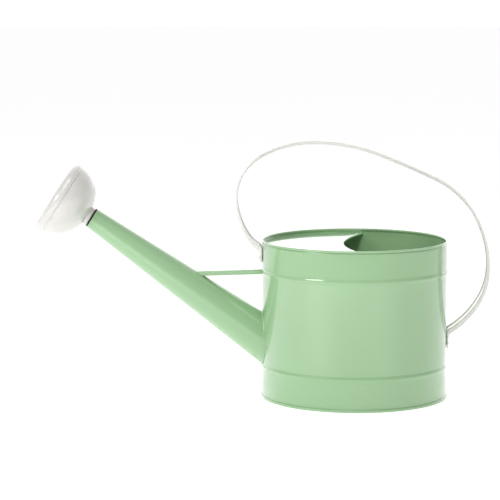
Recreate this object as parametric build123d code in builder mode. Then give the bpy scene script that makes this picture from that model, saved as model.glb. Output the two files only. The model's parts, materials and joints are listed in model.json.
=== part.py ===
"""Watering can of painted sheet steel, about 52 cm long and 30 cm high.

A round can with a rolled rim, two pressed beads and a seamed base stands on the floor.
Half of its mouth is closed by a splash cover. A tapered spout rises from the wall and is
stayed by a folded brace. A wide strap handle bows over the mouth, riveted to the wall in
front and behind. A round rose plugs into the spout's tip through a rubber bush, turns in
it, and pulls off along the spout.

Millimetres. +Z is up, the origin is the centre of the base on the floor, and the spout
points towards -X. The can is symmetric about the XZ plane.
"""

import os
from math import cos, radians, sin, sqrt

from build123d import *

# --- Sheet and fits ---------------------------------------------------------------------
sheet = 0.6              # steel sheet of every pressed piece
wire_clearance = 0.05    # rim wire inside its roll, all round
running_clearance = 0.06 # radial, rose neck in the bush
bush_clearance = 0.1     # radial, bush in the mouth of the spout
stop_gap = 0.1           # end gap where the rose and its bush meet their stops
crimp_clearance = 0.1    # rose back inside the skirt of the rose face

# --- Can ----------------------------------------------------------------------------------
body_radius = 106.3      # outside of the wall
body_height = 181.6      # floor to the top of the rim
rim_roll = 2.6           # outer diameter of the rolled rim
bead_low_height = 36.6   # centre of the lower bead above the floor
bead_top_drop = 35.7     # centre of the upper bead below the rim
bead_width = 5.0
bead_proud = 0.8
seam_height = 3.2        # folded seam that joins wall and base
seam_proud = 1.3
pan_recess = 2.6         # underside of the base above the floor

# --- Splash cover -------------------------------------------------------------------------
cover_drop = 4.8         # top of the cover below the rim
cover_edge_x = -12.0     # middle of the curved edge
cover_edge_radius = 214.0
cover_flange = 2.4       # depth of the turned-down edge
cover_clearance = 0.05

# --- Spout --------------------------------------------------------------------------------
spout_angle = 35.3       # above the horizontal
spout_root_height = 68.6 # where the spout's axis meets the wall
spout_length = 238.6     # along the axis, wall to tip
spout_root_diameter = 50.3
spout_tip_diameter = 23.6
lip_width = 2.6          # flared lip soldered to the wall
lip_thickness = 1.0

# --- Brace --------------------------------------------------------------------------------
brace_drop = 33.7        # top of the brace below the rim, at the wall
brace_slope = 1.7        # degrees that it falls towards the spout
brace_width = 14.0
brace_depth = 5.4
brace_relief = 1.4       # gap between the folded edges and the spout

# --- Handle -------------------------------------------------------------------------------
handle_rise = 115.4      # top of the bow above the rim
strap_width = 25.0
strap_thickness = 2.2
strap_bend = 5.0         # radius of the bend above each tab, at the middle of the strap
strap_edge = 0.7         # rounding of the long edges
crown_x = -47.0          # highest point of the bow
front_reach = 28.7       # middle of the strap beyond the wall, at the front
rear_reach = 47.4        # middle of the strap beyond the wall, behind
front_bend_drop = 7.4    # bend of the front tab below the rim
front_tab_length = 17.7
rear_bend_height = 77.0  # bend of the rear tab above the floor
rear_tab_length = 20.0

# --- Rivets -------------------------------------------------------------------------------
rivet_shank = 4.0
rivet_head = 6.4
rivet_head_height = 1.5
rivet_bulb = 5.8         # closed end inside the can
rivet_bulb_length = 5.0
rivet_pitch = 8.0
rivet_edge = 3.7         # lowest rivet above the bottom of its tab
washer_diameter = 7.6
washer_thickness = 1.0

# --- Rose ---------------------------------------------------------------------------------
bush_wall = 1.5          # sleeve between neck and spout
bush_flange = 1.8
bush_flange_inset = 0.4  # flange inside the outer edge of the spout's tip
bush_depth = 12.0        # sleeve inside the spout
neck_plug_depth = 15.0   # plug beyond the spout's tip
neck_collar = 1.1        # collar beyond the plug, all round
rose_angle = 32.3        # its axis above the horizontal, which the spout's tip is cut square to
rose_diameter = 90.0
rose_back_depth = 36.2   # dome, along the axis
rose_seat = 4.6          # start of the dome beyond the spout's tip
skirt_length = 2.0       # straight side of the face, behind its rounded edge
face_edge = 8.5          # radius of the face's rounded edge
face_bulge = 3.3
hole_diameter = 1.2
hole_pitch = 6.8         # between rings of holes
hole_margin = 2.0        # outermost ring inside the rounded edge, at the least

# --- Derived places -----------------------------------------------------------------------
inner_radius = body_radius - sheet
bead_heights = (bead_low_height, body_height - bead_top_drop)
cover_top = body_height - cover_drop
brace_top = body_height - brace_drop

angle = radians(spout_angle)
spout_tip = (
    -body_radius - spout_length * cos(angle),
    0,
    spout_root_height + spout_length * sin(angle),
)
spout_axis = Axis(spout_tip, (-cos(angle), 0, sin(angle)))
# Across the spout: x is the distance from its axis, y runs outwards from its tip.
spout_section = Plane(spout_tip, x_dir=(sin(angle), 0, cos(angle)), z_dir=(0, -1, 0))

tilt = radians(rose_angle)
rose_direction = (-cos(tilt), 0, sin(tilt))
rose_axis = Axis(spout_tip, rose_direction)
rose_section = Plane(spout_tip, x_dir=(sin(tilt), 0, cos(tilt)), z_dir=(0, -1, 0))
rose_plane = Plane(spout_tip, x_dir=(0, 1, 0), z_dir=rose_direction)

tip_radius = spout_tip_diameter / 2
tip_bore = tip_radius - sheet
root_radius = spout_root_diameter / 2
spout_taper = (root_radius - tip_radius) / spout_length
inward = spout_root_diameter   # how far the spout's cones run on inside the can
past_tip = tip_radius / 5      # and past its tip, which is then cut square to the rose

strap_x = body_radius + strap_thickness / 2
crown_z = body_height + handle_rise - strap_thickness / 2
front_bend = (-strap_x, body_height - front_bend_drop)
rear_bend = (strap_x, rear_bend_height)
front_tab_bottom = front_bend[1] - front_tab_length
rear_tab_bottom = rear_bend[1] - rear_tab_length
rivet_places = {
    "front": [(-1, front_tab_bottom + rivet_edge + rivet_pitch * i) for i in range(2)],
    "rear": [(1, rear_tab_bottom + rivet_edge + rivet_pitch * i) for i in range(2)],
}

sleeve_radius = tip_bore - bush_clearance
bush_bore = sleeve_radius - bush_wall
plug_radius = bush_bore - running_clearance
collar_radius = plug_radius + neck_collar
neck_stop = bush_flange + 2 * stop_gap
rose_radius = rose_diameter / 2
back_radius = rose_radius - sheet - crimp_clearance
back_end = rose_seat + rose_back_depth
face_shoulder = back_end + skirt_length
hole_rings = int((rose_radius - face_edge - hole_margin) / hole_pitch)

os.makedirs("parts", exist_ok=True)


def save(builder, name):
    """Label a finished piece and write it under its node's name."""
    builder.part.label = name
    export_step(builder.part, f"parts/{name}.step")


def wall_line(radius, bottom, top):
    """Draw one face of the wall from bottom to top, swelling out over each bead."""
    start = (radius, bottom)
    for height in bead_heights:
        below = (radius, height - bead_width / 2)
        above = (radius, height + bead_width / 2)
        Line(start, below)
        ThreePointArc(below, (radius + bead_proud, height), above)
        start = above
    Line(start, (radius, top))


def cone_outline(growth):
    """Corners of the spout's outer cone, grown all round, from past its tip to inside the can."""
    length = spout_length + inward
    tip = tip_radius - spout_taper * past_tip + growth
    root = tip_radius + spout_taper * length + growth
    return [(0, past_tip), (tip, past_tip), (root, -length), (0, -length)]


# --- Blanks that trim the pieces to each other ------------------------------------------------
with BuildPart() as body_blank:
    with BuildSketch(Plane.XZ):
        with BuildLine():
            wall_line(body_radius, 0, body_height)
            Polyline((body_radius, body_height), (0, body_height), (0, 0), (body_radius, 0))
        make_face()
    revolve(axis=Axis.Z)

with BuildPart() as spout_blank:
    with BuildSketch(spout_section):
        with BuildLine():
            Polyline(cone_outline(0), close=True)
        make_face()
    revolve(axis=spout_axis)

with BuildPart() as bore_blank:
    with BuildSketch(spout_section):
        with BuildLine():
            Polyline(cone_outline(-sheet), close=True)
        make_face()
    revolve(axis=spout_axis)

# --- Body shell: rolled wall with two beads, a wired rim and holes for spout and rivets --------
roll_centre = (body_radius - sheet / 2, body_height - rim_roll / 2)

with BuildPart() as body_shell:
    with BuildSketch(Plane.XZ):
        with BuildLine():
            wall_line(body_radius, sheet, roll_centre[1])
            wall_line(inner_radius, sheet, roll_centre[1])
            Line((inner_radius, sheet), (body_radius, sheet))
            Line((inner_radius, roll_centre[1]), (body_radius, roll_centre[1]))
        make_face()
        with Locations(roll_centre):
            Circle(rim_roll / 2)
            Circle(rim_roll / 2 - sheet, mode=Mode.SUBTRACT)
    revolve(axis=Axis.Z)
    add(bore_blank.part, mode=Mode.SUBTRACT)
    for side, height in rivet_places["front"] + rivet_places["rear"]:
        with BuildSketch(Plane((0, 0, height), x_dir=(0, 1, 0), z_dir=(side, 0, 0))):
            Circle(rivet_shank / 2)
        extrude(amount=body_radius + seam_proud, mode=Mode.SUBTRACT)
save(body_shell, "body_shell")

# --- Rim wire: the ring that the rim is rolled round -------------------------------------------
with BuildPart() as rim_wire:
    with BuildSketch(Plane.XZ):
        with Locations(roll_centre):
            Circle(rim_roll / 2 - sheet - wire_clearance)
    revolve(axis=Axis.Z)
save(rim_wire, "rim_wire")

# --- Base pan: recessed disc whose edge folds under and round the wall -------------------------
with BuildPart() as base_pan:
    with BuildSketch(Plane.XZ):
        with BuildLine():
            Polyline(
                (0, pan_recess),
                (inner_radius - sheet, pan_recess),
                (inner_radius - sheet, 0),
                (body_radius + seam_proud, 0),
                (body_radius + seam_proud, seam_height),
                (body_radius, seam_height),
                (body_radius, sheet),
                (inner_radius, sheet),
                (inner_radius, pan_recess + sheet),
                (0, pan_recess + sheet),
                close=True,
            )
        make_face()
        outer_corners = vertices().group_by(Axis.X)[-1]
        fillet(outer_corners, radius=seam_proud / 3)
    revolve(axis=Axis.Z)
save(base_pan, "base_pan")

# --- Splash cover: flanged plate over the spout side of the mouth ------------------------------
edge_centre = (cover_edge_x + cover_edge_radius, 0)

with BuildPart() as splash_cover:
    with BuildSketch(Plane.XY.offset(cover_top)):
        Circle(inner_radius - cover_clearance)
        with Locations(edge_centre):
            Circle(cover_edge_radius, mode=Mode.SUBTRACT)
    extrude(amount=-cover_flange)
    with BuildSketch(Plane.XY.offset(cover_top - sheet)):
        Circle(inner_radius - cover_clearance - sheet)
        with Locations(edge_centre):
            Circle(cover_edge_radius + sheet, mode=Mode.SUBTRACT)
    extrude(amount=-cover_flange, mode=Mode.SUBTRACT)
save(splash_cover, "splash_cover")

# --- Spout tube: tapered tube with a flared lip that lies on the wall --------------------------
with BuildPart() as spout_lip:
    with BuildSketch(spout_section):
        with BuildLine():
            Polyline(cone_outline(lip_width), close=True)
        make_face()
    revolve(axis=spout_axis)
    with BuildSketch(Plane.XY):
        Circle(body_radius + lip_thickness)
    extrude(amount=body_height, mode=Mode.INTERSECT)

with BuildPart() as spout_tube:
    add(spout_blank.part)
    add(spout_lip.part)
    add(bore_blank.part, mode=Mode.SUBTRACT)
    add(body_blank.part, mode=Mode.SUBTRACT)
    split(bisect_by=rose_plane, keep=Keep.BOTTOM)
save(spout_tube, "spout_tube")

# --- Brace: channel strap between the top of the spout and the wall ----------------------------
brace_reach = (brace_top - spout_root_height) * cos(angle) / sin(angle)
slope = radians(brace_slope)
# Across the brace and over it, both from the middle of its top edge on the wall.
brace_section = Plane(
    (-body_radius, 0, brace_top), x_dir=(0, 1, 0), z_dir=(cos(slope), 0, sin(slope))
)
brace_web = Plane(
    (-body_radius, 0, brace_top), x_dir=(0, 1, 0), z_dir=(-sin(slope), 0, cos(slope))
)

with BuildPart() as brace_relief_blank:
    with BuildSketch(spout_section):
        with BuildLine():
            Polyline(cone_outline(brace_relief), close=True)
        make_face()
    revolve(axis=spout_axis)
    with BuildSketch(brace_web.offset(-sheet)):
        Rectangle(spout_root_diameter, 4 * spout_length)
    extrude(amount=-spout_length, mode=Mode.INTERSECT)

with BuildPart() as brace:
    with BuildSketch(brace_section.offset(-brace_reach)):
        Rectangle(brace_width, brace_depth, align=(Align.CENTER, Align.MAX))
        top_corners = vertices().group_by(Axis.Y)[-1]
        fillet(top_corners, radius=2 * sheet)
        with Locations((0, -sheet)):
            Rectangle(
                brace_width - 2 * sheet,
                brace_depth,
                align=(Align.CENTER, Align.MAX),
                mode=Mode.SUBTRACT,
            )
    extrude(amount=brace_reach + body_radius / 2)
    add(body_blank.part, mode=Mode.SUBTRACT)
    add(spout_blank.part, mode=Mode.SUBTRACT)
    add(brace_relief_blank.part, mode=Mode.SUBTRACT)
save(brace, "brace")

# --- Handle strap: one bow of flat strip, bent down to a flat tab at each end ------------------
front_drop = crown_z - front_bend[1]
rear_drop = crown_z - rear_bend[1]
front_bow = [
    (-body_radius + 2.3, crown_z - 0.115 * front_drop),
    (-body_radius - front_reach, crown_z - 0.574 * front_drop),
    (-body_radius - 14.9, crown_z - 0.897 * front_drop),
    front_bend,
]
rear_bow = [
    (body_radius - 78.8, crown_z - 0.064 * rear_drop),
    (body_radius - 15.6, crown_z - 0.190 * rear_drop),
    (body_radius + 26.7, crown_z - 0.358 * rear_drop),
    (body_radius + rear_reach, crown_z - 0.628 * rear_drop),
    (body_radius + 36.6, crown_z - 0.840 * rear_drop),
    rear_bend,
]

with BuildPart() as handle_strap:
    with BuildSketch(Plane.XZ):
        with BuildLine() as bow:
            for points, heading, tab_bottom in (
                (front_bow, (-1, 0), front_tab_bottom),
                (rear_bow, (1, 0), rear_tab_bottom),
            ):
                start = (crown_x, crown_z)
                for point in points:
                    arc = TangentArc(start, point, tangent=heading)
                    heading = arc % 1
                    start = point
                Line(start, (start[0], tab_bottom))
            bends = [bow.vertices().sort_by_distance(bend)[0] for bend in (front_bend, rear_bend)]
            fillet(bends, radius=strap_bend)
        trace(line_width=strap_thickness)
    extrude(amount=strap_width / 2, both=True)
    long_edges = edges().group_by(Axis.Y)[0] + edges().group_by(Axis.Y)[-1]
    fillet(long_edges, radius=strap_edge)
    for side, height in rivet_places["front"] + rivet_places["rear"]:
        with BuildSketch(Plane((0, 0, height), x_dir=(0, 1, 0), z_dir=(side, 0, 0))):
            Circle(rivet_shank / 2)
        extrude(amount=body_radius + 2 * strap_thickness, mode=Mode.SUBTRACT)
save(handle_strap, "handle_strap")

# --- Rivets and their sealing washers ----------------------------------------------------------
washer_seat = inner_radius - (washer_diameter / 2) ** 2 / (2 * inner_radius)
washer_inside = washer_seat - washer_thickness
head_x = body_radius + strap_thickness

for end, places in rivet_places.items():
    with BuildPart() as rivets:
        for side, height in places:
            # Outwards along x, across the rivet along y.
            with BuildSketch(Plane((0, 0, height), x_dir=(side, 0, 0), z_dir=(0, 0, side))):
                with BuildLine():
                    Line((washer_inside - rivet_bulb_length, 0), (head_x + rivet_head_height, 0))
                    TangentArc(
                        (head_x + rivet_head_height, 0),
                        (head_x, rivet_head / 2),
                        tangent=(0, 1),
                    )
                    Polyline(
                        (head_x, rivet_head / 2),
                        (head_x, rivet_shank / 2),
                        (washer_inside, rivet_shank / 2),
                        (washer_inside, rivet_bulb / 2),
                        (washer_inside - rivet_bulb_length / 2, rivet_bulb / 2),
                    )
                    TangentArc(
                        (washer_inside - rivet_bulb_length, 0),
                        (washer_inside - rivet_bulb_length / 2, rivet_bulb / 2),
                        tangent=(0, 1),
                    )
                make_face()
            revolve(axis=Axis((0, 0, height), (side, 0, 0)))
    save(rivets, f"{end}_rivets")

    with BuildPart() as washers:
        for side, height in places:
            washer_plane = Plane((0, 0, height), x_dir=(0, 1, 0), z_dir=(side, 0, 0))
            with BuildSketch(washer_plane.offset(washer_inside)):
                Circle(washer_diameter / 2)
                Circle(rivet_shank / 2, mode=Mode.SUBTRACT)
            extrude(amount=washer_thickness)
    save(washers, f"{end}_washers")

# --- Rose bush: rubber sleeve in the spout's tip, with the flange that shows -------------------
flange_radius = tip_radius - bush_flange_inset

with BuildPart() as rose_bush:
    with BuildSketch(rose_section):
        with BuildLine():
            Polyline(
                (bush_bore, -bush_depth),
                (sleeve_radius, -bush_depth),
                (sleeve_radius, stop_gap),
                (flange_radius, stop_gap),
                (flange_radius, stop_gap + bush_flange),
                (bush_bore, stop_gap + bush_flange),
                close=True,
            )
        make_face()
    revolve(axis=rose_axis)
save(rose_bush, "rose_bush")

# --- Rose neck: stepped tube, its plug in the bush and its collar on the dome -----------------
dome_depth = rose_back_depth
dome_start = dome_depth * sqrt(1 - (collar_radius / back_radius) ** 2)
collar_end = back_end - dome_start + sheet

with BuildPart() as rose_neck:
    with BuildSketch(rose_section):
        with BuildLine():
            Polyline(
                (plug_radius - sheet, -neck_plug_depth),
                (plug_radius, -neck_plug_depth),
                (plug_radius, neck_stop),
                (collar_radius, neck_stop),
                (collar_radius, collar_end),
                (collar_radius - sheet, collar_end),
                (collar_radius - sheet, neck_stop + sheet),
                (plug_radius - sheet, neck_stop + sheet),
                close=True,
            )
        make_face()
    revolve(axis=rose_axis)
save(rose_neck, "rose_neck")

# --- Rose back: elliptical dome from the neck to the crimped edge ------------------------------
with BuildPart() as rose_back:
    with BuildSketch(rose_section):
        with Locations((0, back_end)):
            Ellipse(back_radius, dome_depth)
            Ellipse(back_radius - sheet, dome_depth - sheet, mode=Mode.SUBTRACT)
        with Locations((0, back_end)):
            Rectangle(3 * rose_radius, 3 * rose_radius, align=(Align.CENTER, Align.MIN), mode=Mode.SUBTRACT)
            Rectangle(3 * rose_radius, 3 * rose_radius, align=(Align.MAX, Align.CENTER), mode=Mode.SUBTRACT)
        Rectangle(2 * collar_radius, 3 * rose_radius, mode=Mode.SUBTRACT)
        with Locations((back_radius, back_end)):
            Rectangle(sheet, skirt_length, align=(Align.MAX, Align.MIN))
    revolve(axis=rose_axis)
save(rose_back, "rose_back")

# --- Rose face: perforated, slightly domed cap whose skirt closes over the dome ----------------
with BuildPart() as rose_face:
    with BuildSketch(rose_section):
        with BuildLine():
            for wall in (0, sheet):
                flat = rose_radius - face_edge
                rise = face_shoulder + face_edge - wall
                CenterArc((flat, face_shoulder), face_edge - wall, 0, 90)
                TangentArc((0, rise + face_bulge), (flat, rise), tangent=(1, 0))
                Line((rose_radius - wall, face_shoulder), (rose_radius - wall, back_end))
            Line((rose_radius, back_end), (rose_radius - sheet, back_end))
            Line((0, rise + face_bulge), (0, rise + face_bulge + sheet))
        make_face()
    revolve(axis=rose_axis)
    with BuildSketch(rose_plane.offset(face_shoulder)):
        Circle(hole_diameter / 2)
        for ring in range(1, hole_rings + 1):
            with PolarLocations(hole_pitch * ring, 6 * ring):
                Circle(hole_diameter / 2)
    extrude(amount=2 * (face_edge + face_bulge), mode=Mode.SUBTRACT)
save(rose_face, "rose_face")
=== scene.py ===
"""Watering can of painted sheet steel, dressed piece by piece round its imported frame."""

import json
from math import asin, atan2, cos, degrees, hypot, pi, radians, sin, sqrt

import bmesh
import bpy
from mathutils import Euler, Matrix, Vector


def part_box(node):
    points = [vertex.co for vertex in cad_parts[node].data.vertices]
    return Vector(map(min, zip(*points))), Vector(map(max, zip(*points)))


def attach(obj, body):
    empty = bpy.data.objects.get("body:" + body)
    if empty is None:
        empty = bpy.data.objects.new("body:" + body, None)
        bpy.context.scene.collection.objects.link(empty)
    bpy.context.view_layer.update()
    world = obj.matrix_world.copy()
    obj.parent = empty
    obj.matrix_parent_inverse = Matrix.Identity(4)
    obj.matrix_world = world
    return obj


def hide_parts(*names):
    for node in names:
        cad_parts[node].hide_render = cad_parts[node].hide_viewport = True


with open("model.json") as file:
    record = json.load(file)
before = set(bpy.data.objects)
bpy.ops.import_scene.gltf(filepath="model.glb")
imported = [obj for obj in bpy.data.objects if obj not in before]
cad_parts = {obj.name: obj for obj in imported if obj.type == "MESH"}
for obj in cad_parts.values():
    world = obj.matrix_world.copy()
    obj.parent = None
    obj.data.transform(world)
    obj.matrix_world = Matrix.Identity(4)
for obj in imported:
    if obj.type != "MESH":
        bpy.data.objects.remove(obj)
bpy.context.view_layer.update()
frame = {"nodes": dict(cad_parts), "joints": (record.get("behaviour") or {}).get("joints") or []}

# --- Can wall ---------------------------------------------------------------------------------
# A rolled sheet of 0.6 mm steel with two pressed beads. Its top edge is curled over a wire,
# its lower edge is folded into the base, and a hole is cut where the spout is soldered on.
# Sprayed inside and out with a glossy green enamel.
mm = 0.001
sheet = 0.6 * mm
wall_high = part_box("body_shell")[1]
rim_height = wall_high.z
roll_radius = 1.3 * mm
wall_radius = wall_high.y - roll_radius + sheet / 2
wall_foot, wall_steps = 0.8 * mm, 192
bead_heights, between_beads = (36.6 * mm, 145.9 * mm), 91.2 * mm
bead_width, bead_proud, bead_steps = 7.4 * mm, 0.8 * mm, 16
smooth_below = radians(35)

# The spout's line and sizes, which the hole in the wall follows.
tip = Vector(next(j["pos_m"] for j in frame["joints"] if j["name"] == "rose_turn"))
spout_angle = radians(35.3)
spout_along = Vector((-cos(spout_angle), 0, sin(spout_angle)))
spout_out = Vector((sin(spout_angle), 0, cos(spout_angle)))
spout_length, spout_tip_radius, spout_root_radius = 238.6 * mm, 11.8 * mm, 25.15 * mm
spout_taper = (spout_root_radius - spout_tip_radius) / spout_length
past_root = 30 * mm


def only(piece):
    """Leave one piece selected and active, out of edit mode."""
    if bpy.context.object and bpy.context.object.mode == "EDIT":
        bpy.ops.object.mode_set(mode="OBJECT")
    bpy.ops.object.select_all(action="DESELECT")
    piece.select_set(True)
    bpy.context.view_layer.objects.active = piece


def draw(name, places):
    """Start a piece as one point, and draw its outline from place to place."""
    bpy.ops.object.select_all(action="DESELECT")
    bpy.ops.mesh.primitive_plane_add(size=sheet, location=places[0])
    piece = bpy.context.object
    piece.name = piece.data.name = name
    bpy.ops.object.mode_set(mode="EDIT")
    bpy.ops.mesh.select_mode(type="VERT")
    bpy.ops.mesh.merge(type="CENTER")
    for here, there in zip(places, places[1:]):
        bpy.ops.mesh.extrude_vertices_move(
            TRANSFORM_OT_translate={"value": Vector(there) - Vector(here)}
        )
    bpy.ops.mesh.select_all(action="SELECT")
    return piece


def settle(piece):
    """Put a piece's place into its mesh, with its object at the origin."""
    only(piece)
    bpy.ops.object.transform_apply(location=True, rotation=True, scale=True)


def close_up():
    """Merge what meets, and face everything outwards, in edit mode."""
    bpy.ops.mesh.select_all(action="SELECT")
    bpy.ops.mesh.remove_doubles(threshold=0.002 * mm)
    bpy.ops.mesh.normals_make_consistent(inside=False)


def turned(name, outline, centre, along, out, steps):
    """Spin an outline of (distance out, distance along) pairs round an axis."""
    piece = draw(name, [centre + along * a + out * r for r, a in outline])
    bpy.ops.mesh.spin(steps=steps, angle=2 * pi, center=centre, axis=along)
    close_up()
    settle(piece)
    return piece


def thicken(piece, thickness=sheet, offset=0, even=False):
    """Give a drawn surface the thickness of its metal."""
    only(piece)
    thick = piece.modifiers.new("sheet", "SOLIDIFY")
    thick.thickness, thick.offset, thick.use_even_offset = thickness, offset, even
    bpy.ops.object.modifier_apply(modifier="sheet")


def cut_away(piece, cutter):
    """Trim a piece with another solid, which is then thrown away."""
    only(piece)
    trim = piece.modifiers.new("trim", "BOOLEAN")
    trim.object, trim.operation, trim.solver = cutter, "DIFFERENCE", "EXACT"
    bpy.ops.object.modifier_apply(modifier="trim")
    bpy.data.objects.remove(cutter)


def arc(centre, radius, start, end, count):
    """Places on an arc in an outline, its angles in degrees from straight out."""
    turns = [radians(start + (end - start) * i / count) for i in range(count + 1)]
    return [(centre[0] + radius * cos(t), centre[1] + radius * sin(t)) for t in turns]


def spout_cone(name, growth, beyond, steps=96):
    """A solid cone on the spout's axis, from past its tip to inside the can."""
    inside = -spout_length - past_root
    ends = [(spout_tip_radius - spout_taper * a + growth, a) for a in (beyond, inside)]
    return turned(name, [(0, beyond), *ends, (0, inside)], tip, spout_along, spout_out, steps)


middle = wall_radius - sheet / 2
outline = [(middle, wall_foot), (middle, 12 * mm), (middle, 24 * mm)]
for height in bead_heights:
    for i in range(bead_steps + 1):
        z = (i / bead_steps - 0.5) * bead_width
        swell = bead_proud * (0.5 + 0.5 * cos(2 * pi * z / bead_width)) ** 0.8
        outline.append((middle + swell, height + z))
    if height == bead_heights[0]:
        outline.append((middle, between_beads))
# The wall draws in under the roll: each place's distance out from the wall and down from the
# rim, in mm.
neck_under_roll = [(0, 4.2), (-0.06, 3.7), (-0.25, 3.2), (-0.55, 2.7), (-0.82, 2.2), (-0.96, 1.75)]
outline += [(middle + r * mm, rim_height - d * mm) for r, d in neck_under_roll]
roll_centre = (middle, rim_height - roll_radius)
outline += arc(roll_centre, roll_radius - sheet / 2, 180, -70, 20)
up, sideways = Vector((0, 0, 1)), Vector((0, -1, 0))
wall = turned("can_wall", outline, Vector(), up, sideways, wall_steps)
thicken(wall)
cut_away(wall, spout_cone("spout_hole", -sheet, 0))
only(wall)
bpy.ops.object.shade_smooth_by_angle(angle=smooth_below)
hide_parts("body_shell")
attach(wall, "can")


def enamel(name, colour, rough, peel, blush):
    """Sprayed gloss enamel: a slow drift of tone, a fine orange peel and patchy gloss."""
    paint = bpy.data.materials.new(name)
    paint.use_nodes = True
    nodes, wires = paint.node_tree.nodes, paint.node_tree.links
    shader = nodes["Principled BSDF"]
    shader.inputs["Coat Weight"].default_value = 1.0
    shader.inputs["Coat Roughness"].default_value = 0.04
    place = nodes.new("ShaderNodeTexCoord")

    def noise(scale, detail, low, high):
        """A noise pattern whose values run from low to high."""
        grain = nodes.new("ShaderNodeTexNoise")
        grain.inputs["Scale"].default_value = scale
        grain.inputs["Detail"].default_value = detail
        wires.new(place.outputs["Object"], grain.inputs["Vector"])
        spread = nodes.new("ShaderNodeMapRange")
        spread.inputs["From Min"].default_value, spread.inputs["From Max"].default_value = 0.3, 0.7
        spread.inputs["To Min"].default_value, spread.inputs["To Max"].default_value = low, high
        wires.new(grain.outputs["Fac"], spread.inputs["Value"])
        return spread.outputs["Result"]

    tone = nodes.new("ShaderNodeHueSaturation")
    tone.inputs["Color"].default_value = (*colour, 1)
    wires.new(noise(14, 4, 1 - blush, 1 + blush), tone.inputs["Value"])
    wires.new(noise(5, 2, 1 - blush, 1 + blush), tone.inputs["Saturation"])
    wires.new(tone.outputs["Color"], shader.inputs["Base Color"])
    wires.new(noise(35, 1, rough * 0.9, rough * 1.12), shader.inputs["Roughness"])
    skin = nodes.new("ShaderNodeBump")
    skin.inputs["Strength"].default_value = peel
    skin.inputs["Distance"].default_value = 0.02 * mm
    wires.new(noise(620, 3, 0, 1), skin.inputs["Height"])
    wires.new(skin.outputs["Normal"], shader.inputs["Normal"])
    return paint


def dress(piece, finish):
    """Give every face of a piece one finish."""
    if not piece.material_slots:
        piece.data.materials.append(finish)
    for slot in piece.material_slots:
        slot.material = finish


green = enamel("green_enamel", (0.325, 0.535, 0.290), 0.22, 0.06, 0.018)
dress(wall, green)

# --- Rim wire ---------------------------------------------------------------------------------
# A ring of galvanised steel wire, butted end to end, that the top of the wall is rolled round.
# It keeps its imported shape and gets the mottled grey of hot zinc.
zinc = bpy.data.materials.new("galvanised_wire")
zinc.use_nodes = True
nodes, wires = zinc.node_tree.nodes, zinc.node_tree.links
zinc_shader = nodes["Principled BSDF"]
zinc_shader.inputs["Metallic"].default_value = 1.0
place = nodes.new("ShaderNodeTexCoord")
spangle = nodes.new("ShaderNodeTexVoronoi")
spangle.inputs["Scale"].default_value = 500
greys = nodes.new("ShaderNodeValToRGB")
greys.color_ramp.elements[0].color = (0.30, 0.31, 0.32, 1)
greys.color_ramp.elements[1].color = (0.52, 0.53, 0.54, 1)
dull = nodes.new("ShaderNodeMapRange")
dull.inputs["To Min"].default_value, dull.inputs["To Max"].default_value = 0.30, 0.50
wires.new(place.outputs["Object"], spangle.inputs["Vector"])
wires.new(spangle.outputs["Color"], greys.inputs["Fac"])
wires.new(greys.outputs["Color"], zinc_shader.inputs["Base Color"])
wires.new(spangle.outputs["Distance"], dull.inputs["Value"])
wires.new(dull.outputs["Result"], zinc_shader.inputs["Roughness"])
dress(frame["nodes"]["rim_wire"], zinc)

# --- Base pan ---------------------------------------------------------------------------------
# A disc of the same sheet, set up inside the wall. Its edge is folded down, out under the wall
# and up round the wall's flange, and pressed into one tight seam that the can stands on.
seam_high, seam_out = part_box("base_pan")[1].z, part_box("base_pan")[1].y
pan_low, pan_step = 2.6 * mm, 0.9 * mm
fold_low, fold_high = 0.9 * mm, 0.75 * mm
# The disc's shallow step: each place's distance from the middle and its drop, in mm.
pan_steps = ((40, 0), (78, 0), (81, 0.5), (84, 0.9), (90, 0.9))
inner = wall_radius - sheet
flange = inner - sheet
outline = [(0, pan_low)]
outline += [(r * mm, pan_low - d * mm) for r, d in pan_steps]
outline += [(flange - 1.1 * mm, pan_low - pan_step), (flange - 0.5 * mm, pan_low - pan_step)]
outline += [(flange, pan_low - 1.3 * mm)]
outline += [(flange, 0.5 * mm), (flange + 0.4 * mm, 0.08 * mm), (inner, 0)]
outline += arc((seam_out - fold_low, fold_low), fold_low, -90, 0, 6)
outline += arc((seam_out - fold_high, seam_high - fold_high), fold_high, 0, 90, 6)
outline += [(wall_radius + 0.12 * mm, seam_high), (wall_radius, seam_high - 0.25 * mm)]
outline += [(wall_radius, sheet), (inner, sheet), (inner, pan_low)]
outline += [(r * mm, pan_low + sheet - d * mm) for r, d in reversed(pan_steps)]
outline += [(0, pan_low + sheet)]
pan = turned("folded_base", outline, Vector(), up, sideways, wall_steps)
only(pan)
bpy.ops.object.shade_smooth_by_angle(angle=smooth_below)
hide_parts("base_pan")
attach(pan, "can")
dress(pan, green)

# --- Splash cover -----------------------------------------------------------------------------
# A flat plate over the spout's half of the mouth, which stops water slopping forwards. Its
# round edge is soldered to the wall; its free edge is turned down to stiffen it.
cover_low, cover_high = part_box("splash_cover")
cover_reach = -cover_low.x
edge_bend, edge_drop = 1.5 * mm, 0.6 * mm
bead_of_solder = 0.55 * mm
edge_middle, edge_radius = -12.0 * mm, 214.0 * mm


def edge_place(y, back=0.0):
    """Place on the cover's free edge, or that far behind it, at a distance across the can."""
    return edge_middle + edge_radius - sqrt((edge_radius + back) ** 2 - y * y)


def corner(back):
    """Distance across the can where the free edge, or a line behind it, meets the wall."""
    c = edge_middle + edge_radius
    x = (c * c + cover_reach**2 - (edge_radius + back) ** 2) / (2 * c)
    return sqrt(cover_reach**2 - x * x)


top = cover_high.z - sheet / 2
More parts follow.
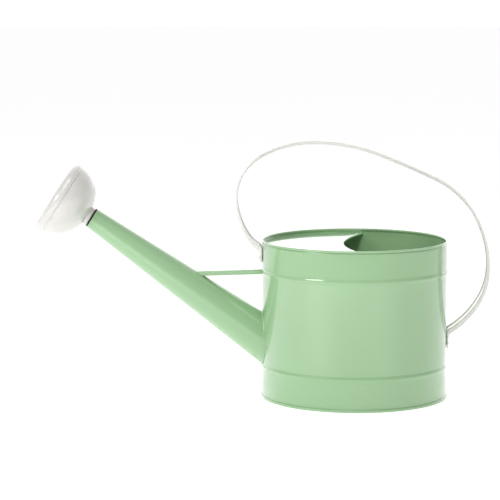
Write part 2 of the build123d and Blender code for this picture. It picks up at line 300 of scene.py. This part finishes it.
# The plate stops a hair short of the corners, where its two edges would meet in a point.
span = corner(edge_bend) - 0.02 * mm
across = [span * sin(pi / 2 * i / 40) for i in range(-40, 41)]
cover = draw("splash_cover_plate", [(edge_place(y, edge_bend), y, top) for y in across])
bpy.ops.object.mode_set(mode="OBJECT")
wall_line = draw("cover_wall_edge", [(-sqrt(cover_reach**2 - y * y), y, top) for y in across])
bpy.ops.object.mode_set(mode="OBJECT")
bpy.ops.object.select_all(action="DESELECT")
for half in (cover, wall_line):
    half.select_set(True)
bpy.context.view_layer.objects.active = cover
bpy.ops.object.join()
settle(cover)
bpy.ops.object.mode_set(mode="EDIT")
bpy.ops.mesh.select_all(action="SELECT")
bpy.ops.mesh.bridge_edge_loops(number_cuts=10, interpolation="LINEAR")


def pick_edges(piece, wanted):
    """Select the open edges whose middle passes a test, in edit mode."""
    mesh = bmesh.from_edit_mesh(piece.data)
    bpy.ops.mesh.select_mode(type="EDGE")
    bpy.ops.mesh.select_all(action="DESELECT")
    for edge in mesh.edges:
        if edge.is_boundary and wanted(sum((v.co for v in edge.verts), Vector()) / 2):
            edge.select = True
    mesh.select_flush_mode()
    bmesh.update_edit_mesh(piece.data)


def free_edge(p):
    """True on the cover's free edge."""
    return p.x > edge_place(p.y, edge_bend) - 0.3 * mm


pick_edges(cover, free_edge)
for turn in range(6):
    a, b = radians(15 * turn), radians(15 * turn + 15)
    step = Vector((edge_bend * (sin(b) - sin(a)), 0, -edge_bend * (cos(a) - cos(b))))
    bpy.ops.mesh.extrude_edges_move(TRANSFORM_OT_translate={"value": step})
bpy.ops.mesh.extrude_edges_move(TRANSFORM_OT_translate={"value": Vector((0, 0, -edge_drop))})
close_up()
bpy.ops.object.mode_set(mode="OBJECT")
thicken(cover, even=True)
bpy.ops.object.shade_smooth_by_angle(angle=radians(40))
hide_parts("splash_cover")
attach(cover, "can")
dress(cover, green)


def solder_bead(name, piece, radius, wanted):
    """A round bead of solder laid along the edges of a piece that pass a test."""
    only(piece)
    bpy.ops.object.duplicate()
    bead = bpy.context.object
    bead.name = bead.data.name = name
    mesh = bmesh.new()
    mesh.from_mesh(bead.data)
    rest = [e for e in mesh.edges if not wanted(e)]
    bmesh.ops.delete(mesh, geom=rest, context="EDGES_FACES")
    mesh.to_mesh(bead.data)
    mesh.free()
    bpy.ops.object.convert(target="CURVE")
    bead = bpy.context.object
    bead.data.bevel_depth = radius
    bead.data.bevel_resolution = 3
    bead.data.use_fill_caps = True
    bpy.ops.object.convert(target="MESH")
    bead = bpy.context.object
    bpy.ops.object.mode_set(mode="EDIT")
    close_up()
    bpy.ops.object.mode_set(mode="OBJECT")
    bpy.ops.object.shade_smooth()
    return bead


def on_wall(edge):
    """True where a cover's upper edge meets the wall."""
    a, b = (v.co for v in edge.verts)
    return all(hypot(p.x, p.y) > cover_reach - 0.1 * mm and p.z > top for p in (a, b))


cover_solder = solder_bead("cover_solder", cover, bead_of_solder, on_wall)
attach(cover_solder, "can")
dress(cover_solder, green)

# --- Spout ------------------------------------------------------------------------------------
# A tapered tube rolled from one blank, lapped and soldered along its underside. Its foot is
# soldered over the hole in the wall with a full bead, and its tip is cut square to the rose.
rose_along = Vector(next(j["axis"] for j in frame["joints"] if j["name"] == "rose_turn"))
rose_out = Vector((rose_along.z, 0, -rose_along.x))
past_tip, foot_solder = 2 * mm, 1.5 * mm
places = [past_tip - (spout_length + past_root) * i / 24 for i in range(25)]
outline = [(spout_tip_radius - spout_taper * a, a) for a in places]
outline += [(r - sheet, a) for r, a in reversed(outline)]
outline.append(outline[0])
spout = turned("spout_cone", outline, tip, spout_along, spout_out, 128)
only(spout)
bpy.ops.object.mode_set(mode="EDIT")
bpy.ops.mesh.select_all(action="SELECT")
bpy.ops.mesh.bisect(plane_co=tip, plane_no=rose_along, clear_outer=True)
pick_edges(spout, lambda p: True)
bpy.ops.mesh.bridge_edge_loops()
close_up()
bpy.ops.object.mode_set(mode="OBJECT")


def can_plug(name, radius):
    """A solid drum that stands for the can when a piece is trimmed to its wall."""
    bpy.ops.object.select_all(action="DESELECT")
    bpy.ops.mesh.primitive_cylinder_add(
        vertices=384, radius=radius, depth=0.4, location=(0, 0, 0.1)
    )
    bpy.context.object.name = name
    return bpy.context.object


cut_away(spout, can_plug("drum", wall_radius))
bpy.ops.object.shade_smooth_by_angle(angle=smooth_below)
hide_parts("spout_tube")
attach(spout, "can")
dress(spout, green)


def on_foot(edge):
    """True where the outside of the spout meets the wall."""
    a, b = (v.co for v in edge.verts)
    for p in (a, b):
        along = (p - tip).dot(spout_along)
        out = (p - tip - spout_along * along).length
        outside = spout_tip_radius - spout_taper * along - 0.3 * mm
        if abs(hypot(p.x, p.y) - wall_radius) > 0.08 * mm or out < outside:
            return False
    return True


foot = solder_bead("spout_solder", spout, foot_solder, on_foot)
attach(foot, "can")
dress(foot, green)

# --- Brace ------------------------------------------------------------------------------------
# A short channel folded from strip, which keeps the spout from working loose. Its ends are cut
# to the spout and to the wall and tacked there with solder.
brace_low, brace_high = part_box("brace")
brace_slope = radians(1.7)
brace_reach = -brace_low.x + 8 * mm
brace_deep, brace_thick = 5.4 * mm, 0.7 * mm
brace_fold, worn_edge = 1.3 * mm, 0.12 * mm
bpy.ops.object.select_all(action="DESELECT")
bpy.ops.mesh.primitive_cube_add(
    location=(-brace_reach / 2, 0, brace_high.z - brace_deep / 2 - 0.2 * mm),
    scale=(brace_reach / 2, brace_high.y, brace_deep / 2),
)
brace = bpy.context.object
brace.name = brace.data.name = "brace_channel"
settle(brace)
bpy.ops.object.mode_set(mode="EDIT")
mesh = bmesh.from_edit_mesh(brace.data)
bpy.ops.mesh.select_mode(type="FACE")
bpy.ops.mesh.select_all(action="DESELECT")
for face in mesh.faces:
    face.select = abs(face.normal.x) > 0.9 or face.normal.z < -0.9
bmesh.update_edit_mesh(brace.data)
bpy.ops.mesh.delete(type="FACE")
mesh = bmesh.from_edit_mesh(brace.data)
bpy.ops.mesh.select_mode(type="EDGE")
bpy.ops.mesh.select_all(action="DESELECT")
for edge in mesh.edges:
    edge.select = not edge.is_boundary
bmesh.update_edit_mesh(brace.data)
bpy.ops.mesh.bevel(offset=brace_fold, segments=6)
bpy.ops.mesh.select_all(action="SELECT")
bpy.ops.transform.rotate(
    value=brace_slope, orient_axis="Y", center_override=(-wall_radius, 0, brace_high.z)
)
bpy.ops.object.mode_set(mode="OBJECT")
thicken(brace, brace_thick, -1)
cut_away(brace, can_plug("drum", wall_radius + 0.02 * mm))
cut_away(brace, spout_cone("spout_room", 0.05 * mm, 0, 256))
soft = brace.modifiers.new("worn", "BEVEL")
soft.width, soft.segments = worn_edge, 2
soft.limit_method, soft.angle_limit = "ANGLE", radians(50)
bpy.ops.object.modifier_apply(modifier="worn")
bpy.ops.object.shade_smooth_by_angle(angle=smooth_below)
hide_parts("brace")
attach(brace, "can")
dress(brace, green)

# --- Handle -----------------------------------------------------------------------------------
# A strip of thicker steel with both long edges rolled under for the hand, bent to one sweeping
# bow and down to a flat tab at each end. Sprayed in a glossy cream before it is riveted on.
strap_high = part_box("handle_strap")[1]
half_thick = 1.1 * mm
half_wide = strap_high.y
strap_x = wall_radius + half_thick
crown = Vector((-47 * mm, 0, strap_high.z - half_thick))
strap_bend = 5 * mm
# Each end's bend: its height, and the length of the tab below it (-1 front, 1 rear).
tabs = {-1: (174.2 * mm, 17.7 * mm), 1: (77.0 * mm, 20.0 * mm)}
# Places that each half of the bow passes: mm from the wall's side, and share of the drop
# from the crown to the bend.
bow_places = {
    -1: [(2.3, 0.115), (-28.7, 0.574), (-14.9, 0.897)],
    1: [(-78.8, 0.064), (-15.6, 0.190), (26.7, 0.358), (47.4, 0.628), (36.6, 0.840)],
}


def bow_arcs(side):
    """Arcs of one half of the bow, from its crown down to the bend over its tab."""
    bend = Vector((side * strap_x, 0, tabs[side][0]))
    drop = crown.z - bend.z
    stops = [
        Vector((side * wall_radius + x * mm, 0, crown.z - share * drop))
        for x, share in bow_places[side]
    ]
    here, heading, arcs = crown, Vector((side, 0, 0)), []
    for there in stops + [bend]:
        chord = there - here
        square = Vector((-heading.z, 0, heading.x))
        reach = chord.length_squared / (2 * chord.dot(square))
        centre = here + square * reach
        turn = 2 * atan2(chord.dot(square), chord.dot(heading))
        arcs.append([centre, here, there, turn])
        heading = Vector((
            heading.x * cos(turn) - heading.z * sin(turn), 0,
            heading.x * sin(turn) + heading.z * cos(turn),
        ))
        here = there
    # The last arc stops short, where the small bend over the tab takes over.
    centre, start, end, turn = arcs[-1]
    radius = (start - centre).length
    small_x = side * (strap_x + strap_bend)
    rise = sqrt((radius + strap_bend) ** 2 - (small_x - centre.x) ** 2)
    small = min(
        (Vector((small_x, 0, centre.z + s * rise)) for s in (-1, 1)),
        key=lambda p: (p - bend).length,
    )
    meet = centre + (small - centre) * radius / (radius + strap_bend)
    foot = Vector((side * strap_x, 0, small.z))

    def swing(about, a, b):
        """Angle from one place to another round a centre."""
        a, b = a - about, b - about
        return atan2(a.x * b.z - a.z * b.x, a.x * b.x + a.z * b.z)

    arcs[-1] = [centre, start, meet, swing(centre, start, meet)]
    arcs.append([small, meet, foot, swing(small, meet, foot)])
    return arcs, foot


# The strip's cross-section: its top, then each long edge rolled under to a bead.
roll, web = half_thick, 0.18 * mm
edge_y = half_wide - roll
section = [(-edge_y + edge_y * i / 6, roll) for i in range(13)]
section += [(edge_y + roll * sin(radians(t)), roll * cos(radians(t))) for t in range(20, 181, 20)]
section += [(edge_y - roll * sin(radians(t)), roll * cos(radians(t))) for t in range(150, 89, -30)]
section += [(edge_y - roll - 0.5 * mm, web), (-edge_y + roll + 0.5 * mm, web)]
section += [(-edge_y + roll * sin(radians(t)), roll * cos(radians(t))) for t in range(90, 151, 30)]
section += [(-edge_y - roll * sin(radians(t)), roll * cos(radians(t))) for t in range(180, 19, -20)]
section.append(section[0])

front_arcs, front_foot = bow_arcs(-1)
rear_arcs, rear_foot = bow_arcs(1)
front_end = Vector((front_foot.x, 0, tabs[-1][0] - tabs[-1][1]))
rear_end = Vector((rear_foot.x, 0, tabs[1][0] - tabs[1][1]))
# The last millimetres of a tab, from its full width in: each step's length and the width left.
end_steps = [(2.0, 1.0), (1.1, 0.985), (0.8, 0.955), (0.5, 0.91), (0.3, 0.87), (0.1, 0.84)]
end_length = sum(step for step, narrow in end_steps) * mm

handle = draw("handle_bow", [front_end + Vector((-t, y, end_length)) for y, t in section])
bpy.ops.mesh.extrude_edges_move(
    TRANSFORM_OT_translate={"value": front_foot - front_end - Vector((0, 0, end_length))}
)
runs = [(c, b, a, -turn) for c, a, b, turn in reversed(front_arcs)] + rear_arcs
facet, facet_degrees, fewest = 3.2 * mm, 1.5, 6
for centre, start, end, turn in runs:
    steps = max(fewest, int(abs(turn) * (start - centre).length / facet))
    steps = min(steps, max(fewest, int(degrees(abs(turn)) / facet_degrees)))
    bpy.ops.mesh.spin(steps=steps, angle=turn, center=centre, axis=(0, 1, 0))
bpy.ops.mesh.extrude_edges_move(
    TRANSFORM_OT_translate={"value": rear_end + Vector((0, 0, end_length)) - rear_foot}
)


def round_off(end):
    """Draw a tab's last millimetres in, for its rounded corners, and close its end."""
    height, wide = end.z + end_length, 1.0
    for step, narrow in end_steps:
        height -= step * mm
        bpy.ops.mesh.extrude_edges_move(
            TRANSFORM_OT_translate={"value": Vector((0, 0, -step * mm))}
        )
        bpy.ops.transform.resize(value=(1, narrow / wide, 1), center_override=(end.x, 0, height))
        wide = narrow
    bpy.ops.mesh.edge_face_add()


round_off(rear_end)
pick_edges(handle, lambda p: True)
round_off(front_end)
close_up()
settle(handle)
bpy.ops.object.shade_smooth_by_angle(angle=radians(40))
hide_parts("handle_strap")
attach(handle, "can")
cream = enamel("cream_enamel", (0.79, 0.775, 0.74), 0.24, 0.06, 0.012)
dress(handle, cream)

# --- Rivets and washers -----------------------------------------------------------------------
# Four domed pop rivets hold the strap's tabs, set after painting and touched up to match it.
# A black sealing washer sits under each one's closed end inside the can.
rubber = bpy.data.materials.new("black_rubber")
rubber.use_nodes = True
nodes, wires = rubber.node_tree.nodes, rubber.node_tree.links
rubber_shader = nodes["Principled BSDF"]
rubber_shader.inputs["Specular IOR Level"].default_value = 0.35
place = nodes.new("ShaderNodeTexCoord")
bloom = nodes.new("ShaderNodeTexNoise")
bloom.inputs["Scale"].default_value, bloom.inputs["Detail"].default_value = 160, 6
blacks = nodes.new("ShaderNodeValToRGB")
blacks.color_ramp.elements[0].position, blacks.color_ramp.elements[1].position = 0.3, 0.75
blacks.color_ramp.elements[0].color = (0.006, 0.006, 0.006, 1)
blacks.color_ramp.elements[1].color = (0.022, 0.021, 0.020, 1)
matt = nodes.new("ShaderNodeMapRange")
matt.inputs["To Min"].default_value, matt.inputs["To Max"].default_value = 0.55, 0.80
grain = nodes.new("ShaderNodeTexNoise")
grain.inputs["Scale"].default_value, grain.inputs["Detail"].default_value = 1800, 2
pores = nodes.new("ShaderNodeBump")
pores.inputs["Strength"].default_value, pores.inputs["Distance"].default_value = 0.3, 0.03 * mm
wires.new(place.outputs["Object"], bloom.inputs["Vector"])
wires.new(place.outputs["Object"], grain.inputs["Vector"])
wires.new(bloom.outputs["Fac"], blacks.inputs["Fac"])
wires.new(bloom.outputs["Fac"], matt.inputs["Value"])
wires.new(blacks.outputs["Color"], rubber_shader.inputs["Base Color"])
wires.new(matt.outputs["Result"], rubber_shader.inputs["Roughness"])
wires.new(grain.outputs["Fac"], pores.inputs["Height"])
wires.new(pores.outputs["Normal"], rubber_shader.inputs["Normal"])
rivet_cream = enamel("rivet_enamel", (0.80, 0.79, 0.76), 0.30, 0.2, 0.02)
for end in ("front", "rear"):
    dress(frame["nodes"][f"{end}_rivets"], rivet_cream)
    dress(frame["nodes"][f"{end}_washers"], rubber)

# --- Rose bush --------------------------------------------------------------------------------
# A moulded black rubber sleeve pushed into the spout's tip. Only its flange shows, as a dark
# ring between the spout and the rose; it grips the neck and lets the rose be turned.
dress(frame["nodes"]["rose_bush"], rubber)

# --- Rose neck --------------------------------------------------------------------------------
# A short drawn tube with a wider collar, which plugs into the bush and is soldered to the
# middle of the rose's back. Painted cream with the rose.
plug_radius, collar_radius = 9.54 * mm, 10.64 * mm
neck_stop, plug_depth, collar_end = 2.0 * mm, 15 * mm, 6.4 * mm
soft_edge = 0.35 * mm
outline = [(plug_radius - sheet, -plug_depth), (plug_radius - 0.2 * mm, -plug_depth)]
outline += [(plug_radius, -plug_depth + 0.3 * mm), (plug_radius, neck_stop)]
outline += arc((collar_radius - soft_edge, neck_stop + soft_edge), soft_edge, -90, 0, 4)
outline += [(collar_radius, neck_stop + 1.6 * mm)]
outline += [(collar_radius + 0.35 * mm, neck_stop + 2.2 * mm)]
outline += [(collar_radius + 0.45 * mm, collar_end), (collar_radius - sheet, collar_end)]
outline += [(collar_radius - sheet, neck_stop + sheet), (plug_radius - sheet, neck_stop + sheet)]
outline.append(outline[0])
neck = turned("rose_neck_tube", outline, tip, rose_along, rose_out, 96)
only(neck)
bpy.ops.object.shade_smooth_by_angle(angle=smooth_below)
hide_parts("rose_neck")
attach(neck, "rose")
# The rose has the handle's cream paint, made darker as painted shade so the rose does not glare in
# the floor's light.
rose_shaded_cream = enamel("rose_enamel_shaded", (0.695, 0.68, 0.65), 0.24, 0.06, 0.012)
dress(neck, rose_shaded_cream)

# --- Rose back --------------------------------------------------------------------------------
# A deep dome spun from one disc, with a hole for the neck. Its rim is turned out a little and
# held in the rolled skirt of the face, which leaves a fine line round the rose.
rose_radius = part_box("rose_face")[1].y
back_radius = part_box("rose_back")[1].y
back_end, dome_depth = 40.8 * mm, 36.2 * mm
flare, waist = 0.7 * mm, back_end - 1.0 * mm
rose_steps = 160
hole_edge = asin((collar_radius - 0.3 * mm) / (back_radius - flare))
outline = []
for i in range(41):
    t = hole_edge * (1 - i / 40) + pi / 2 * i / 40
    reach = waist - (dome_depth - back_end + waist - sheet / 2) * cos(t)
    outline.append(((back_radius - flare) * sin(t) - sheet / 2, reach))
outline += [(back_radius - 0.1 * mm - sheet / 2, back_end)]
outline += [(back_radius - sheet / 2, back_end + 1.6 * mm)]
dome = turned("rose_dome", outline, tip, rose_along, rose_out, rose_steps)
thicken(dome)
bpy.ops.object.shade_smooth_by_angle(angle=smooth_below)
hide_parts("rose_back")
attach(dome, "rose")
dress(dome, rose_shaded_cream)

# --- Rose face --------------------------------------------------------------------------------
# A shallow pressed cap, pierced with rings of small holes. Its skirt is rolled in over the
# rim of the dome in a narrow hem, with a fine groove in front of it.
face_edge, face_bulge = 8.5 * mm, 3.3 * mm
hem, groove = 0.32 * mm, rose_radius - 0.50 * mm
shoulder = back_end + 2.0 * mm
flat = rose_radius - face_edge
level = shoulder + face_edge
outline = [(back_radius + 0.12 * mm, back_end - 0.25 * mm)]
outline += arc((rose_radius - hem, back_end + 0.15 * mm), hem, -120, 0, 5)
outline += [(groove, back_end + 0.65 * mm), (groove, back_end + 1.25 * mm)]
outline += arc((flat, shoulder), face_edge, 4, 90, 14)
bulge_radius = (flat**2 + face_bulge**2) / (2 * face_bulge)
for i in range(1, 17):
    out = flat * (1 - i / 16)
    outline.append((out, level + sqrt(bulge_radius**2 - out**2) - bulge_radius + face_bulge))
face = turned("rose_face_cap", outline, tip, rose_along, rose_out, rose_steps)
thicken(face, offset=-1)

hole_radius, hole_pitch, hole_rings = 0.6 * mm, 6.8 * mm, 5
rose_side = Vector((0, 1, 0))
centre = tip + rose_along * (shoulder + face_edge)
bpy.ops.object.select_all(action="DESELECT")
bpy.ops.mesh.primitive_cylinder_add(vertices=16, radius=hole_radius, depth=24 * mm)
punch = bpy.context.object
punch.rotation_euler = rose_along.to_track_quat("Z", "Y").to_euler()
punches = []
for ring in range(hole_rings + 1):
    holes = max(1, 6 * ring)
    for i in range(holes):
        turn = 2 * pi * i / holes
        copy = punch.copy()
        copy.data = punch.data.copy()
        copy.location = centre + (rose_side * cos(turn) + rose_out * sin(turn)) * hole_pitch * ring
        bpy.context.collection.objects.link(copy)
        punches.append(copy)
bpy.data.objects.remove(punch)
only(punches[0])
for copy in punches:
    copy.select_set(True)
bpy.ops.object.join()
cut_away(face, bpy.context.object)
bpy.ops.object.shade_smooth_by_angle(angle=radians(30))
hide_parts("rose_face")
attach(face, "rose")
dress(face, rose_shaded_cream)

# --- Floor, light and camera ------------------------------------------------------------------
# A plain white studio: a pale matt floor that glows a little, a bright backdrop, a large soft
# box above and a small one on the left that draws the highlights on the bead and the rim. Two
# lamps lay pale pools on the floor for the wall to mirror, and one shines into the mouth.
floor_radius, floor_glow = 14, 0.46
camera_dip, camera_turn, camera_lens = 7.4275, -0.1487, 162.5
bpy.ops.object.select_all(action="DESELECT")
bpy.ops.mesh.primitive_circle_add(vertices=96, radius=floor_radius, fill_type="NGON")
floor = bpy.context.object
floor.name = floor.data.name = "studio_floor"
floor_white = bpy.data.materials.new("floor_white")
floor_white.use_nodes = True
nodes, wires = floor_white.node_tree.nodes, floor_white.node_tree.links
floor_shader = nodes["Principled BSDF"]
floor_shader.inputs["Roughness"].default_value = 0.9
floor_shader.inputs["Specular IOR Level"].default_value = 0.1
place = nodes.new("ShaderNodeTexCoord")
mottle = nodes.new("ShaderNodeTexNoise")
mottle.inputs["Scale"].default_value = 1.5
whites = nodes.new("ShaderNodeValToRGB")
whites.color_ramp.elements[0].color = (0.93, 0.93, 0.93, 1)
whites.color_ramp.elements[1].color = (0.95, 0.95, 0.95, 1)
wires.new(place.outputs["Object"], mottle.inputs["Vector"])
wires.new(mottle.outputs["Fac"], whites.inputs["Fac"])
wires.new(whites.outputs["Color"], floor_shader.inputs["Base Color"])
floor_shader.inputs["Emission Color"].default_value = (1, 1, 1, 1)
floor_shader.inputs["Emission Strength"].default_value = floor_glow
dress(floor, floor_white)

# The light all round is soft in front and brightens behind, as a lit backdrop does.
studio = bpy.data.worlds.new("studio")
studio.use_nodes = True
bpy.context.scene.world = studio
nodes, wires = studio.node_tree.nodes, studio.node_tree.links
where = nodes.new("ShaderNodeTexCoord")
parts = nodes.new("ShaderNodeSeparateXYZ")
glow = nodes.new("ShaderNodeMapRange")
for socket, value in (("From Min", 0.2), ("From Max", 0.95), ("To Min", 0.31), ("To Max", 1.6)):
    glow.inputs[socket].default_value = value
nodes["Background"].inputs["Color"].default_value = (1, 1, 1, 1)
wires.new(where.outputs["Generated"], parts.inputs["Vector"])
wires.new(parts.outputs["Y"], glow.inputs["Value"])
wires.new(glow.outputs["Result"], nodes["Background"].inputs["Strength"])


def hang(name, lamp, place, target):
    """Hang a lamp at a place, aim it, and keep it out of the camera's sight."""
    hung = bpy.data.objects.new(name, lamp)
    hung.location = place
    hung.rotation_euler = (Vector(target) - Vector(place)).to_track_quat("-Z", "Y").to_euler()
    hung.visible_camera = False
    bpy.context.scene.collection.objects.link(hung)


def soft_box(name, place, size, power):
    """A diffused lamp that faces the middle of the can."""
    lamp = bpy.data.lights.new(name, "AREA")
    lamp.shape, lamp.size, lamp.size_y, lamp.energy = "RECTANGLE", *size, power
    hang(name, lamp, place, (0, 0, 0.1))


soft_box("top_box", (-0.2, -1.0, 2.0), (1.4, 1.4), 16)
soft_box("key_box", (-1.17, -0.85, 0.80), (0.60, 0.24), 5.5)


def spot(name, place, target, power, spread):
    """A narrow lamp with a soft edge."""
    lamp = bpy.data.lights.new(name, "SPOT")
    lamp.energy, lamp.spot_size = power, radians(spread)
    lamp.spot_blend, lamp.shadow_soft_size = 1.0, 0.1
    hang(name, lamp, place, target)


spot("left_floor_lamp", (-0.42, -0.45, 1.0), (-0.42, -0.45, 0.0), 22, 26)
spot("right_floor_lamp", (0.30, -0.55, 1.0), (0.30, -0.55, 0.0), 12, 26)
spot("mouth_lamp", (-0.25, -1.35, 1.55), (0.04, 0.10, 0.155), 60, 8.5)

camera = bpy.data.objects.new("camera", bpy.data.cameras.new("camera"))
bpy.context.scene.collection.objects.link(camera)
camera.location = (-0.1268, -2.5735, 0.5048)
camera.rotation_euler = Euler((radians(90 - camera_dip), 0, radians(camera_turn)))
camera.data.lens = camera_lens
bpy.context.scene.camera = camera
bpy.context.scene.view_settings.view_transform = "Standard"
